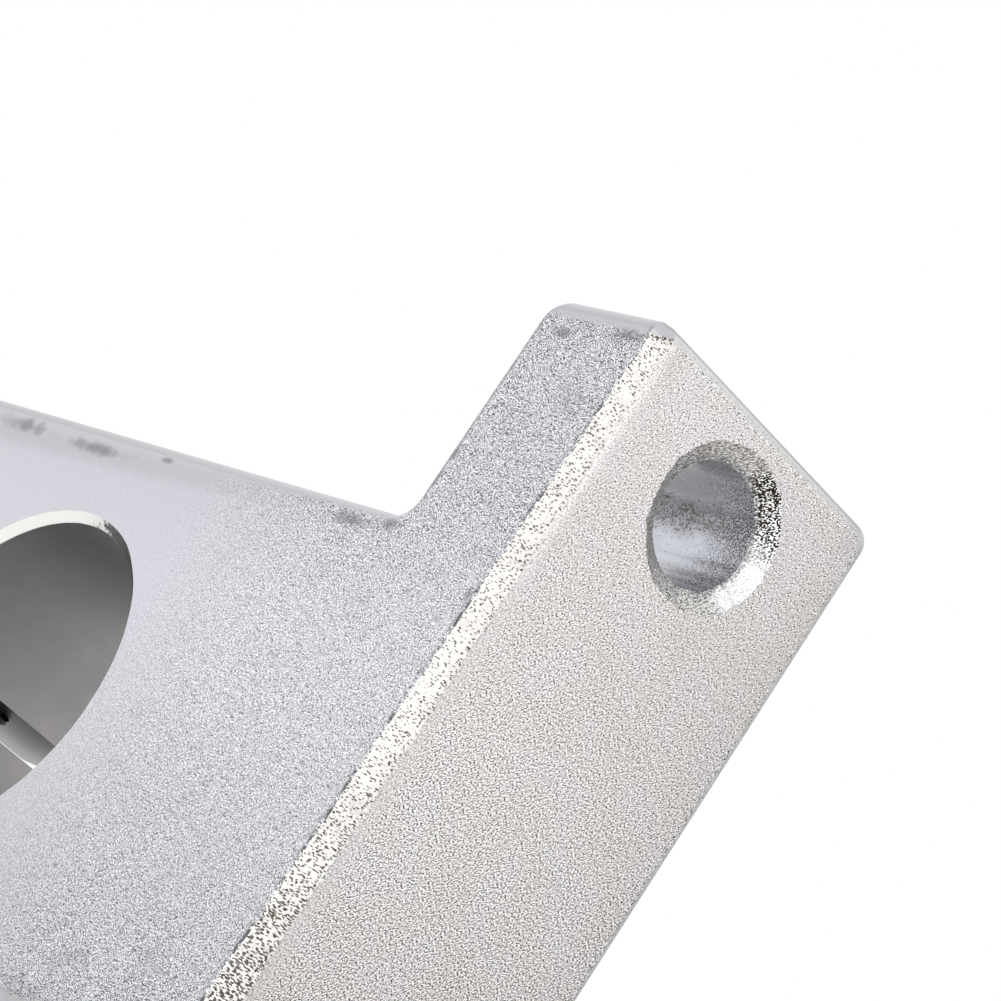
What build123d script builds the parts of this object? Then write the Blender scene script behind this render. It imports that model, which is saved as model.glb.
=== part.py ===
# Linear shaft support: a one-piece cast block that stands on two bolted ears, with a split bore
# that a cap screw draws closed round the end of a fixed shaft.
# Millimetres. Z is up, Y runs along the shaft, X along the base.
# The origin is the middle of the block's underside.

import math
import os

from build123d import *

# Shaft and bore
shaft_diameter = 16.0
shaft_height = 27.0
bore_edge_chamfer = 0.4

# Block
block_length = 16.0
bore_side_wall = 4.7
base_thickness = 7.7
ear_length = 11.3

# Bolt holes through the ears
bolt_hole_diameter = 5.5
bolt_hole_from_end = 5.0
bolt_mouth_flare = 0.9
bolt_mouth_depth = 0.64

# Edges of the casting: tumbled round, but for the bevel ground on the front edge of its underside
edge_radius = 0.95
ear_top_radius = 1.3
inner_corner_radius = 0.8
bevel_at_left_end = 1.41
bevel_at_right_end = 0.88
bevel_angle = 28.4

# Split clamp over the bore
slit_width = 1.5
wall_under_screw = 1.75
wall_over_head = 1.25
head_side_clearance = 0.25
clearance_hole_gap = 0.25
thread_gap = 0.05
head_set_back = 0.5
tip_set_back = 0.9
tapped_mouth_chamfer = 0.35

# Clamp screw, a socket head cap screw
screw_diameter = 4.0
head_diameter = 7.0
head_height = 4.0
head_rim_chamfer = 0.35
neck_fillet_radius = 0.2
tip_chamfer = 0.6
socket_across_flats = 3.0
socket_depth = 2.0
socket_cone_depth = 0.8
socket_mouth_chamfer = 0.25

# How far each cutting tool starts outside the face that it enters
overrun = 1.0

# Sizes that follow from the ones above
bore_radius = shaft_diameter / 2
bolt_hole_radius = bolt_hole_diameter / 2
upright_width = shaft_diameter + 2 * bore_side_wall
upright_side = upright_width / 2
base_width = upright_width + 2 * ear_length
bolt_x = base_width / 2 - bolt_hole_from_end
clearance_hole_radius = screw_diameter / 2 + clearance_hole_gap
tapped_hole_radius = screw_diameter / 2 + thread_gap
counterbore_radius = head_diameter / 2 + head_side_clearance
counterbore_depth = head_height + head_set_back
screw_height = shaft_height + bore_radius + wall_under_screw + clearance_hole_radius
block_height = screw_height + counterbore_radius + wall_over_head
head_seat_x = counterbore_depth - upright_side
screw_length = upright_width - counterbore_depth - tip_set_back

# Where a bar or cone sits on the plane that it starts from
on_plane = (Align.CENTER, Align.CENTER, Align.MIN)


def across_screw(x, direction=1):
    """The plane that crosses the clamp screw's axis at x, facing +X or, with -1, facing -X."""
    return Plane(origin=(x, 0, screw_height), x_dir=(0, 1, 0), z_dir=(direction, 0, 0))


def bar(plane, radius, length):
    """A round bar that starts on a plane and runs along its normal."""
    return plane * Cylinder(radius, length, align=on_plane)


def flared_mouth(plane, radius, flare, depth):
    """The cone that opens a hole from its radius, at this depth, to radius + flare on the plane."""
    return plane * Cone(radius + flare, radius, depth, align=on_plane)


def straight_casting():
    """The upright on its base, as one bar along the shaft, with the two inner corners filleted."""
    base = Rectangle(base_width, base_thickness, align=(Align.CENTER, Align.MIN))
    upright = Rectangle(upright_width, block_height, align=(Align.CENTER, Align.MIN))
    outline = base + upright
    inner_corners = [
        outline.vertices().sort_by_distance((side * upright_side, base_thickness))[0]
        for side in (-1, 1)
    ]
    outline = fillet(inner_corners, radius=inner_corner_radius)
    return extrude(Plane.XZ * outline, amount=block_length / 2, both=True)


def bevelled_casting():
    """The casting with its bevel, one flat cut that is wider under the left ear."""
    front_y = -block_length / 2
    left = Vector(-base_width / 2, front_y + bevel_at_left_end, 0)
    right = Vector(base_width / 2, front_y + bevel_at_right_end, 0)
    rise = bevel_at_right_end * math.tan(math.radians(bevel_angle))
    up_front = Vector(base_width / 2, front_y, rise)
    outward = (up_front - right).cross(left - right)
    cut = Plane(origin=right, x_dir=left - right, z_dir=outward)
    return split(straight_casting(), bisect_by=cut, keep=Keep.BOTTOM)


def ear_tops_rounded():
    """The bevelled casting with the top edge of each ear's end rounded more than the rest."""
    casting = bevelled_casting()
    edges = casting.edges()
    corners = [(side * base_width / 2, 0, base_thickness) for side in (-1, 1)]
    ear_tops = [edges.sort_by_distance(corner)[0] for corner in corners]
    return fillet(ear_tops, radius=ear_top_radius)


def tumbled_casting():
    """The casting with each outer edge rounded, apart from the two long edges of its bevel."""
    casting = ear_tops_rounded()
    faces = casting.faces()
    bevel = faces.sort_by_distance((0, -block_length / 2, 0))[0]
    curved_faces = faces.filter_by(GeomType.CYLINDER)
    left_alone = bevel.edges().filter_by(Axis.X) + curved_faces.edges().filter_by(Axis.Y)
    rounded = [edge for edge in casting.edges() if edge not in left_alone]
    return fillet(rounded, radius=edge_radius)


def shaft_bore():
    """The bore along the shaft, chamfered at both faces."""
    front = Plane(origin=(0, -block_length / 2, shaft_height), x_dir=(1, 0, 0), z_dir=(0, 1, 0))
    back = Plane(origin=(0, block_length / 2, shaft_height), x_dir=(1, 0, 0), z_dir=(0, -1, 0))
    cut = bar(front.offset(-overrun), bore_radius, block_length + 2 * overrun)
    for face in (front, back):
        cut += flared_mouth(face, bore_radius, bore_edge_chamfer, bore_edge_chamfer)
    return cut


def bolt_hole(side):
    """The bolt hole through one ear, with a flared mouth below and above."""
    bottom = Plane(origin=(side * bolt_x, 0, 0))
    top = Plane(origin=(side * bolt_x, 0, base_thickness), z_dir=(0, 0, -1))
    cut = bar(bottom.offset(-overrun), bolt_hole_radius, base_thickness + 2 * overrun)
    for face in (bottom, top):
        cut += flared_mouth(face, bolt_hole_radius, bolt_mouth_flare, bolt_mouth_depth)
    return cut


def slit():
    """The saw cut from the bore up through the top of the block."""
    height = block_height + overrun - shaft_height
    return Pos(0, 0, shaft_height) * Box(slit_width, block_length + 2 * overrun, height, align=on_plane)


def screw_holes():
    """The clamp screw's way: counterbore, clearance hole to the slit, and tapped hole beyond it."""
    outside = across_screw(-upright_side - overrun)
    counterbore = bar(outside, counterbore_radius, counterbore_depth + overrun)
    clearance_hole = bar(across_screw(head_seat_x), clearance_hole_radius, -head_seat_x)
    tapped_hole = bar(across_screw(0), tapped_hole_radius, upright_side + overrun)
    right_side = across_screw(upright_side, direction=-1)
    mouth = flared_mouth(right_side, tapped_hole_radius, tapped_mouth_chamfer, tapped_mouth_chamfer)
    return counterbore + clearance_hole + tapped_hole + mouth


def support_block():
    """The whole block: the tumbled casting, then everything that is machined into it."""
    block = tumbled_casting()
    for cut in (shaft_bore(), bolt_hole(-1), bolt_hole(1), slit(), screw_holes()):
        block -= cut
    return block


def screw_section():
    """Half the screw's section: along its axis from the head's top, and out from the axis."""
    head_radius = head_diameter / 2
    shank_radius = screw_diameter / 2
    tip = head_height + screw_length
    corners = [
        (0, 0),
        (0, head_radius - head_rim_chamfer),
        (head_rim_chamfer, head_radius),
        (head_height, head_radius),
        (head_height, shank_radius),
        (tip - tip_chamfer, shank_radius),
        (tip, shank_radius - tip_chamfer),
        (tip, 0),
    ]
    section = make_face(Polyline(corners, close=True))
    neck = section.vertices().sort_by_distance((head_height, shank_radius))[0]
    return fillet(neck, radius=neck_fillet_radius)


def hex_socket():
    """The socket in the head: a hexagon with a drilled cone below and a chamfered mouth."""
    top = across_screw(head_seat_x - head_height)
    hexagon = RegularPolygon(socket_across_flats / 2, side_count=6, major_radius=False)
    mouth_radius = hexagon.radius - socket_mouth_chamfer
    socket = extrude(top * hexagon, amount=socket_depth)
    cone = Cone(socket_across_flats / 2, 0, socket_cone_depth, align=on_plane)
    socket += top.offset(socket_depth) * cone
    return socket + flared_mouth(top, mouth_radius, socket_mouth_chamfer, socket_mouth_chamfer)


def clamp_screw():
    """The cap screw, with its head seated on the floor of the counterbore."""
    head_top = (head_seat_x - head_height, 0, screw_height)
    section_plane = Plane(origin=head_top, x_dir=(1, 0, 0), z_dir=(0, -1, 0))
    turned = revolve(section_plane * screw_section(), axis=Axis(head_top, (1, 0, 0)))
    return turned - hex_socket()


if __name__ == "__main__":
    os.makedirs("parts", exist_ok=True)
    export_step(support_block(), "parts/support_block.step")
    export_step(clamp_screw(), "parts/clamp_screw.step")
    print("base", base_width, "high", block_height, "bolts", 2 * bolt_x, "screw", screw_length)
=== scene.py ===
# %% Load the frame
import math

import bmesh
import bpy
from mathutils import Matrix, Vector, noise


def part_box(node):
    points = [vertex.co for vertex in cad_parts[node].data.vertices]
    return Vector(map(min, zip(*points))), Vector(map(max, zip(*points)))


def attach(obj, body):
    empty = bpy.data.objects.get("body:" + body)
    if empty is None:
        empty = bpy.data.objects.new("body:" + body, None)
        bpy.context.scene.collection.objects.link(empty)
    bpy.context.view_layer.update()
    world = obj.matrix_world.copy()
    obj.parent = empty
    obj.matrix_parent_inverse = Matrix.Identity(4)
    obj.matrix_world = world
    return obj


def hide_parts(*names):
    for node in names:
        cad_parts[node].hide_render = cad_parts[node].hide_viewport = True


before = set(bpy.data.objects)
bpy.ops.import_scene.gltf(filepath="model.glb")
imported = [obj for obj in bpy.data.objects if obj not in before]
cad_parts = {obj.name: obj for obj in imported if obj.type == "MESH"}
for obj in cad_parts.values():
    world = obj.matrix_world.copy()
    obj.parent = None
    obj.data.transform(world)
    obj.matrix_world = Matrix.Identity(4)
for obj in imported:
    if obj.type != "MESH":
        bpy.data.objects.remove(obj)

mm = 0.001
block_low, block_high = (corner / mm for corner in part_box("support_block"))
screw_low, screw_high = (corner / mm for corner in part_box("clamp_screw"))
base_width = block_high.x - block_low.x
block_length = block_high.y - block_low.y
block_height = block_high.z - block_low.z
screw_height = (screw_low.z + screw_high.z) / 2
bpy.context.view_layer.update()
print("block", round(base_width, 2), round(block_length, 2), round(block_height, 2))

# %% [markdown]
# # A cast linear shaft support
# The real part is one small casting in light metal: a base with two ears, and an upright that is
# bored for a 16 mm shaft and split over the bore. A black cap screw closes the split.
#
# The photograph is a close-up from below, so the work lies in the finish: a blasted skin with a
# pebbled grain, tumbled edges that are worn smooth, and one bright bevel with open pores.
# The mesh is built in millimetres, where the operators' tolerances suit it, and is scaled to
# metres as the last step, because every object of the frame is in metres.

# %% Driving sizes, in millimetres
upright_width = 25.4
base_thickness = 7.7
shaft_height = 27.0
bore_radius = 8.0
bore_edge_chamfer = 0.4
bolt_x = 19.0
bolt_hole_radius = 2.75
bolt_mouth_flare = 0.9
bolt_mouth_depth = 0.64
slit_width = 1.5
edge_radius = 0.95
ear_top_radius = 1.3
inner_corner_radius = 0.8
bevel_at_left_end = 1.41
bevel_at_right_end = 0.88
bevel_angle = math.radians(28.4)
overrun = 1.0

upright_side = upright_width / 2
half_base = base_width / 2
half_length = block_length / 2
print("upright", upright_width, "bore", 2 * bore_radius, "bolt holes", 2 * bolt_x, "apart")

# %% [markdown]
# ## Small helpers
# A bmesh holds a shape while operators work on it. These helpers turn one into an object, and
# apply an object's modifiers, so that the next operator can work on their result. Edges are
# found by where they lie, because their numbers change with each operator.


# %% From bmesh to object, and modifiers applied
tolerance = 0.01


def object_from(bm, name, *materials):
    mesh = bpy.data.meshes.new(name)
    bm.to_mesh(mesh)
    bm.free()
    for material in materials:
        mesh.materials.append(material)
    thing = bpy.data.objects.new(name, mesh)
    bpy.context.scene.collection.objects.link(thing)
    return thing


def apply_modifiers(thing):
    bpy.context.view_layer.update()
    graph = bpy.context.evaluated_depsgraph_get()
    thing.data = bpy.data.meshes.new_from_object(thing.evaluated_get(graph))
    thing.modifiers.clear()


def near(first, second):
    return abs(first - second) < tolerance


def edges_between(bm, test):
    """The edges whose two end points pass a test together."""
    return [edge for edge in bm.edges if test(*(vert.co for vert in edge.verts))]


print("places within", tolerance, "mm count as one")

# %% [markdown]
# ## Shader node helpers
# A material is a graph of nodes. Writing each link by hand hides what the graph does, so these
# helpers add a node, feed its inputs and return its output in one line. A value that is the same
# everywhere is set on the socket, and one that changes over the surface is linked to it.


# %% Adding nodes in one line
def feed(tree, socket, value):
    if isinstance(value, bpy.types.NodeSocket):
        tree.links.new(value, socket)
    else:
        socket.default_value = value


def add_node(tree, kind, inputs=None, **settings):
    node = tree.nodes.new(kind)
    for name, value in settings.items():
        setattr(node, name, value)
    for name, value in (inputs or {}).items():
        feed(tree, node.inputs[name], value)
    return node


def calc(tree, operation, first, second=0.0, third=0.0):
    values = {0: first, 1: second, 2: third}
    return add_node(tree, "ShaderNodeMath", values, operation=operation).outputs[0]


def plus(tree, first, second):
    return calc(tree, "ADD", first, second)


def minus(tree, first, second):
    return calc(tree, "SUBTRACT", first, second)


def times(tree, *factors):
    product = factors[0]
    for factor in factors[1:]:
        product = calc(tree, "MULTIPLY", product, factor)
    return product


def times_plus(tree, value, factor, offset):
    """The value times the factor, plus the offset."""
    return calc(tree, "MULTIPLY_ADD", value, factor, offset)


def size_of(tree, value):
    return calc(tree, "ABSOLUTE", value)


def larger(tree, first, second):
    return calc(tree, "MAXIMUM", first, second)


def vector_calc(tree, operation, first, second):
    node = add_node(tree, "ShaderNodeVectorMath", {0: first, 1: second}, operation=operation)
    return node.outputs["Vector"]


# %% Steps, noises and colours in one line
def ramp(tree, value, low, high, out_low=0.0, out_high=1.0):
    """A smooth step from one value to another."""
    inputs = {0: value, 1: low, 2: high, 3: out_low, 4: out_high}
    node = add_node(tree, "ShaderNodeMapRange", inputs, interpolation_type="SMOOTHSTEP")
    return node.outputs["Result"]


def cloud(tree, place, scale, detail):
    """A noise of soft spots, about 1 / scale millimetres apart."""
    inputs = {"Vector": place, "Scale": scale, "Detail": detail}
    return add_node(tree, "ShaderNodeTexNoise", inputs).outputs["Fac"]


def mix_value(tree, amount, first, second):
    return times_plus(tree, minus(tree, second, first), amount, first)


def mix_colour(tree, amount, first, second, blend_type="MIX"):
    inputs = {0: amount, 6: first, 7: second}
    node = add_node(tree, "ShaderNodeMix", inputs, data_type="RGBA", blend_type=blend_type)
    return node.outputs[2]


def tinted(tree, amount, colour, tint):
    return mix_colour(tree, amount, colour, tint, "MULTIPLY")


def grey(level, warmth=0.0):
    return (level * (1 + warmth), level, level * (1 - warmth), 1)


def tone(tree, value):
    """A changing value as a grey."""
    return add_node(tree, "ShaderNodeCombineColor", {0: value, 1: value, 2: value}).outputs[0]


def along_across_height(tree, place):
    node = add_node(tree, "ShaderNodeSeparateXYZ", {0: place})
    return node.outputs["X"], node.outputs["Y"], node.outputs["Z"]


def print_nodes(thing):
    """Prints how many nodes a material or a node group has."""
    print(thing.name + ":", len(getattr(thing, "node_tree", thing).nodes), "nodes")


# %% [markdown]
# ## Where on the block: distance to the nearest upright edge
# Tumbling wore the four upright edges of the base and of the upright smooth, while the faces
# kept their grain. So the finish has to know how far a point is from such an edge. On one side
# of a box the distance to that side is nothing, and the distance to the next side is the one
# asked for, so it is the larger of the two. The block is two such boxes, base and upright. Over
# the rounding of the top the distance is raised, so that no upright edge is worn there. A second
# output is the distance to the edges of the underside.
#
# A group is built once and placed in any material. Its sockets are its named inputs and outputs.


# %% The edge distance group
def new_group(name, vectors, numbers, outputs):
    """An empty group: its tree, what it is given and what it puts out."""
    group = bpy.data.node_groups.new(name, "ShaderNodeTree")
    sockets = [(socket, "INPUT", "NodeSocketVector") for socket in vectors]
    sockets += [(socket, "INPUT", "NodeSocketFloat") for socket in numbers]
    sockets += [(socket, "OUTPUT", "NodeSocketFloat") for socket in outputs]
    for socket, in_out, kind in sockets:
        group.interface.new_socket(name=socket, in_out=in_out, socket_type=kind)
    given = group.nodes.new("NodeGroupInput").outputs
    put_out = group.nodes.new("NodeGroupOutput").inputs
    return group, given, put_out


def edge_distance_group():
    group, given, put_out = new_group("edge distance", ["Position"], [], ["Upright", "Lower"])
    along, across, height = along_across_height(group, given["Position"])
    to_front = minus(group, half_length, size_of(group, across))
    over_base = calc(group, "GREATER_THAN", height, base_thickness)
    half_width = times_plus(group, over_base, upright_side - half_base, half_base)
    to_side = minus(group, half_width, size_of(group, along))
    over_top = ramp(group, height, block_height - edge_radius, block_height, 0.0, 2.0)
    nearer = calc(group, "MINIMUM", to_front, to_side)
    feed(group, put_out["Upright"], plus(group, larger(group, to_front, to_side), over_top))
    feed(group, put_out["Lower"], larger(group, nearer, height))
    return group


edge_distance = edge_distance_group()
print_nodes(edge_distance)

# %% [markdown]
# ## The blasted grain
# Grit leaves small overlapping dents, under 0.1 mm apart and longer one way, skew to the base, the
# way the parts slide in the tumbler. Each has a bright lip and a dark bottom. Modelled dents would
# take millions of faces, so a stretched noise gives the height for the bump. Its high and low
# parts are put out as masks, so that a lip can be painted light as a glint and a dent painted dark
# as shade. A calm grain has fewer of both.


# %% The grain group
grain_turn = math.radians(-37)
grain_stretch = (0.55, 1.0, 0.8)


def grain_group():
    group, given, put_out = new_group(
        "blasted grain", ["Position"], ["Size", "Calm"], ["Height", "Lips", "Dents"]
    )
    turn = {"Vector": given["Position"], "Rotation": (0, 0, grain_turn)}
    turned = add_node(group, "ShaderNodeMapping", turn).outputs["Vector"]
    stretched = vector_calc(group, "MULTIPLY", turned, grain_stretch)
    frequency = calc(group, "DIVIDE", 1.0, given["Size"])
    inputs = {"Vector": stretched, "Scale": frequency, "Detail": 0.6, "Roughness": 0.6}
    height = add_node(group, "ShaderNodeTexNoise", inputs).outputs["Fac"]
    aside = times(group, given["Calm"], 0.06)
    feed(group, put_out["Height"], height)
    feed(group, put_out["Lips"], ramp(group, minus(group, height, aside), 0.51, 0.61))
    feed(group, put_out["Dents"], ramp(group, plus(group, height, aside), 0.48, 0.36))
    return group


blasted_grain = grain_group()
print_nodes(blasted_grain)

# %% [markdown]
# ## Smudges
# Handling leaves a few grey rubs, most of them just inside the smooth upright edges. Each is one
# soft spot: the distance from its centre, measured in spans that differ along X, Y and Z, with a
# noise added so that its outline frays. One group serves for them all, with its own centre and
# span wherever it is placed.


# %% The smudge group
fray_share = 1.6


def smudge_group():
    group, given, put_out = new_group("smudge", ["Position", "Centre", "Span"], [], ["Mask"])
    offset = vector_calc(group, "SUBTRACT", given["Position"], given["Centre"])
    spans = vector_calc(group, "DIVIDE", offset, given["Span"])
    length = add_node(group, "ShaderNodeVectorMath", {0: spans}, operation="LENGTH")
    distance = minus(group, length.outputs["Value"], fray_share / 2)
    frayed = times_plus(group, cloud(group, given["Position"], 1.3, 1.5), fray_share, distance)
    feed(group, put_out["Mask"], ramp(group, frayed, 1.2, 0.1))
    return group


smudge = smudge_group()
print_nodes(smudge)

# %% [markdown]
# ## What all finishes share
# Every pattern here is read from Object coordinates, so that it stays on the metal when the part
# is moved or seen from elsewhere. They are in metres, and are brought to millimetres first, so
# that each size in a material is one that a ruler on the real part would give.


# %% A material's first and last nodes
def in_millimetres(tree):
    place = add_node(tree, "ShaderNodeTexCoord").outputs["Object"]
    scale = {0: place, "Scale": 1 / mm}
    return add_node(tree, "ShaderNodeVectorMath", scale, operation="SCALE").outputs["Vector"]


def new_material(name):
    material = bpy.data.materials.new(name)
    material.use_nodes = True
    tree = material.node_tree
    return material, tree, tree.nodes["Principled BSDF"]


def use_group(tree, group, **inputs):
    return add_node(tree, "ShaderNodeGroup", inputs, node_tree=group)


def grained(tree, colour, grain, in_dents, on_lips, amount=1.0):
    """The colour with the grain's dents and lips in two others."""
    for mask, other in (("Dents", in_dents), ("Lips", on_lips)):
        colour = mix_colour(tree, times(tree, grain.outputs[mask], amount), colour, other)
    return colour


def finish_metal(tree, shader, colour, roughness, metallic=1.0):
    feed(tree, shader.inputs["Base Color"], colour)
    feed(tree, shader.inputs["Roughness"], roughness)
    feed(tree, shader.inputs["Metallic"], metallic)


def raise_bump(tree, shader, height, distance, strength):
    inputs = {"Height": height, "Distance": distance, "Strength": strength}
    bump = add_node(tree, "ShaderNodeBump", inputs)
    feed(tree, shader.inputs["Normal"], bump.outputs["Normal"])


# %% [markdown]
# ## Dirt and painted shadow on the front face
# The front face has grey rubs from handling, each with a place and a reach of its own, a few
# fainter darker patches, and a dark line just over the bevel, a painted shadow under the burr of
# the grinding. Rubs and patches are the smudge group, placed once for each. The line is a mask on
# the height over the bevel, which is wider on the left, and a noise breaks it up.


# %% Where the smudges are
smudge_depth = 1.2
# Each smudge's place in X and Z, and its reach in both
front_smudges = [
    ((11.55, 35.9), (0.42, 2.3)),
    ((11.45, 30.0), (0.36, 3.0)),
    ((11.85, 24.4), (0.15, 0.42)),
    ((11.6, 10.4), (0.3, 1.6)),
    ((11.9, 7.9), (0.45, 0.6)),
    ((14.5, 7.0), (0.5, 0.2)),
    ((15.8, 6.9), (0.45, 0.2)),
    ((20.2, 7.0), (0.35, 0.2)),
    ((22.7, 1.5), (0.35, 1.2)),
    ((22.2, 5.4), (0.25, 0.8)),
    ((10.0, 0.9), (0.5, 0.25)),
]
# Faint darker patches, placed with the smudge group.
faint_dark_patches = [
    ((-9.9, 9.6), (0.9, 1.3)),
    ((-11.9, 11.0), (0.9, 1.7)),
    ((-8.5, 5.0), (0.8, 1.5)),
    ((19.3, 2.1), (0.9, 1.6)),
]
print("smudges:", len(front_smudges), "clear and", len(faint_dark_patches), "faint")

# %% Smudges and caught grime
bevel_slope = (bevel_at_left_end - bevel_at_right_end) / base_width
bevel_middle = (bevel_at_left_end + bevel_at_right_end) / 2


def smudges(tree, place, spots):
    """Some smudges of the front face as one mask, from their places and reaches in X and Z."""
    covered = 0.0
    for (x, z), (span_x, span_z) in spots:
        spot = {"Centre": (x, -half_length, z), "Span": (span_x, smudge_depth, span_z)}
        mask = use_group(tree, smudge, Position=place, **spot).outputs["Mask"]
        covered = larger(tree, mask, covered)
    return covered


def burr_shadow(tree, along, across, height, sway):
    """A ragged line of painted shadow on the front face, just over the bevel, under the burr."""
    rise = math.tan(bevel_angle)
    bevel_top = times_plus(tree, along, -bevel_slope * rise, bevel_middle * rise)
    ragged = times_plus(tree, sway, 0.6, minus(tree, height, bevel_top))
    on_front = ramp(tree, across, 0.1 - half_length, 0.02 - half_length)
    return times(tree, ramp(tree, ragged, 0.62, 0.25), on_front)


def front_dirt_and_shade(tree, place, along, across, height, sway):
    shadow_line = times(tree, burr_shadow(tree, along, across, height, sway), 0.7)
    faint = times(tree, smudges(tree, place, faint_dark_patches), 0.3)
    return larger(tree, smudges(tree, place, front_smudges), larger(tree, shadow_line, faint))


print("bevel:", round(bevel_middle, 3), "mm wide at its middle")

# %% [markdown]
# ## Where the skin is grainy, and how light it is
# The grain is full on the base and fades up the front toward the bore. It is gone in the smooth
# bands along the upright edges, which widen toward the top, and on the roundings of the
# underside. The lightness changes slowly too, as painted light and shade. An image could hold all
# this, but only for one size of part, so each change is a smooth step over a distance, and the
# steps are multiplied together.


# %% Where the skin is grainy
def smooth_band(tree, height):
    """How far the smooth wear reaches in from an upright edge."""
    on_base = ramp(tree, height, 6.0, 8.5, 1.0, 0.55)
    return plus(tree, on_base, ramp(tree, height, 8.0, 38.0, 0.0, 0.75))


def skin_grain(tree, place, along, height, underside):
    """Coarser below than in front, and calmest below the right ear."""
    calm_below = times(tree, ramp(tree, along, 0.0, 22.0, 0.15, 1.0), underside)
    from_middle = size_of(tree, minus(tree, along, 2.0))
    calm_front = ramp(tree, from_middle, 5.0, 13.0, 0.45, -0.3)
    calm = times_plus(tree, minus(tree, 1.0, underside), calm_front, calm_below)
    size = ramp(tree, height, 0.05, 0.35, 0.054, 0.042)
    return use_group(tree, blasted_grain, Position=place, Size=size, Calm=calm)


def grain_strength(tree, height, past_bevel, past_band, over_lower_edge, sway):
    """Full on the base, weaker beside the bevel and toward the bore, gone where it is worn."""
    by_bevel = times(tree, ramp(tree, past_bevel, 1.0, 0.2), ramp(tree, height, 0.2, 0.02))
    return times(
        tree,
        ramp(tree, times_plus(tree, sway, 0.5, past_band), 0.13, 0.42),
        ramp(tree, over_lower_edge, 0.28, 0.55),
        times_plus(tree, by_bevel, -0.45, 1.0),
        ramp(tree, height, 23.0, 9.5, 0.06, 1.0),
    )


# %% How light the skin is, in painted light and shade
def end_and_top_shade(tree, along, height):
    """A painted highlight round the ear's end, low down, and darker ends of the ears' tops."""
    end = half_base - edge_radius
    painted_light = minus(
        tree, ramp(tree, along, end, end + 0.55), ramp(tree, along, end + 0.6, end + 0.8, 0.0, 1.6)
    )
    painted_light = times(tree, painted_light, ramp(tree, height, 0.65, 0.45))
    on_ear = calc(tree, "GREATER_THAN", size_of(tree, along), upright_side + inner_corner_radius)
    below_top = minus(tree, base_thickness, height)
    darker = times(
        tree, ramp(tree, below_top, 0.9, 0.55), on_ear, ramp(tree, below_top, 0.08, 0.01, 1.0, 0.3)
    )
    return times(tree, times_plus(tree, painted_light, 0.36, 1.0), times_plus(tree, darker, -0.28, 1.0))


def skin_shade(tree, along, across, height, past_band):
    """Painted shade left, back and beside the smooth bands; painted light below the right ear."""
    below = ramp(tree, along, 12.0, 24.0, 1.0, 1.06)
    in_front = ramp(tree, along, 5.0, 15.0, 1.0, 0.88)
    beside_band = size_of(tree, minus(tree, past_band, 0.45))
    dimmed = ramp(tree, height, 10.0, 30.0, 0.94, 0.88)
    return times(
        tree,
        ramp(tree, along, -14.0, 8.0, 0.82, 1.0),
        mix_value(tree, ramp(tree, height, 0.05, 0.4), below, in_front),
        ramp(tree, across, -8.5, 9.0, 1.04, 0.9),
        ramp(tree, across, 4.5, 7.5, 1.0, 0.94),
        ramp(tree, beside_band, 0.0, 0.8, dimmed, 1.0),
        ramp(tree, past_band, -0.1, 0.5, 0.95, 1.0),
        end_and_top_shade(tree, along, height),
    )


def spilled_flecks(tree, along, height, past_bevel, sway, grain):
    """Bright flecks of the bevel that spill over on to the underside, toward the right ear."""
    spill = times_plus(tree, past_bevel, -0.35, times(tree, sway, 0.25))
    spill = ramp(tree, plus(tree, spill, grain.outputs["Height"]), 0.52, 0.62)
    return times(tree, spill, ramp(tree, along, 9.0, 15.0), ramp(tree, height, 0.05, 0.01))


# %% [markdown]
# ## The cast skin
# Bare cast aluminium, blasted and tumbled: grey metal with lips painted light as glints, dents
# painted dark as shade and a few deeper pits. It is put together from the masks above in this
# order: metal and grain, flecks, dirt with faint darker patches and a painted shadow, a patchy
# painted warm light below, and then the painted light and shade. Last, a painted cool sheen makes
# the smooth upright edges lighter and slightly bluer, as in the photograph.


# %% The cast skin put together
painted_warm_light = (0.99, 0.975, 0.945, 1)
painted_cool_sheen = (1.19, 1.19, 1.23, 1)
grazing_tint = grey(0.87)
# A bump's distance is in metres, as the objects are.
skin_bump = 0.00005


def skin_colour(tree, place, grain, grainy):
    """Grey metal with painted glints on the lips, painted shade in the dents, and darker pits."""
    body = mix_colour(tree, grainy, grey(0.555), grey(0.57))
    colour = grained(tree, body, grain, grey(0.07), grey(1.0), grainy)
    pitted = times(tree, ramp(tree, cloud(tree, place, 8.0, 1.0), 0.34, 0.27), grainy, 0.7)
    return mix_colour(tree, pitted, colour, grey(0.12))


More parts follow.
